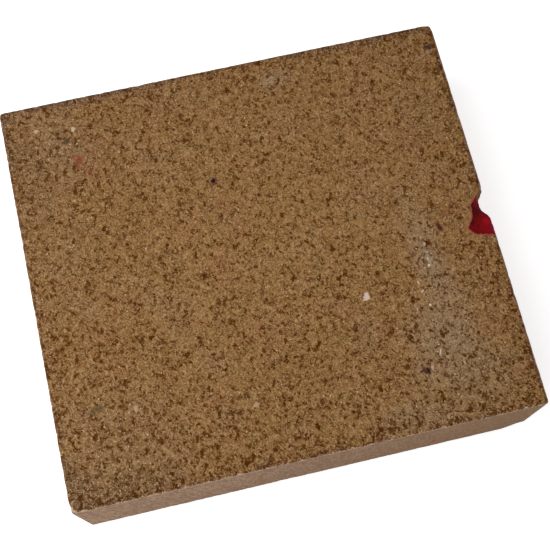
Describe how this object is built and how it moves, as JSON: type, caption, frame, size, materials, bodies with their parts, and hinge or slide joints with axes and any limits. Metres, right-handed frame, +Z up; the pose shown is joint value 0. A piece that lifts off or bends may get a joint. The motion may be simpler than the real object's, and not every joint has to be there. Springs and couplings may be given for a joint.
{
  "type": "refractory firebrick",
  "caption": "Wedge-shaped fired refractory brick for a round kiln lining, coarse-grained, with a painted piece broken out of one upper arris.",
  "frame": {"origin": "centre of the bed, the large face that the brick lies on", "axes": "+X along the taper, from the thick end to the thin end; +Y across the brick, towards its back side; +Z up, out of the bed"},
  "size_m": [0.2207, 0.198, 0.064],
  "materials": {
    "fired_refractory": "fired, granular and matt, with red marking paint on the thin end"
  },
  "bodies": {
    "root": {"brick": "fired_refractory"}
  },
  "joints": []
}
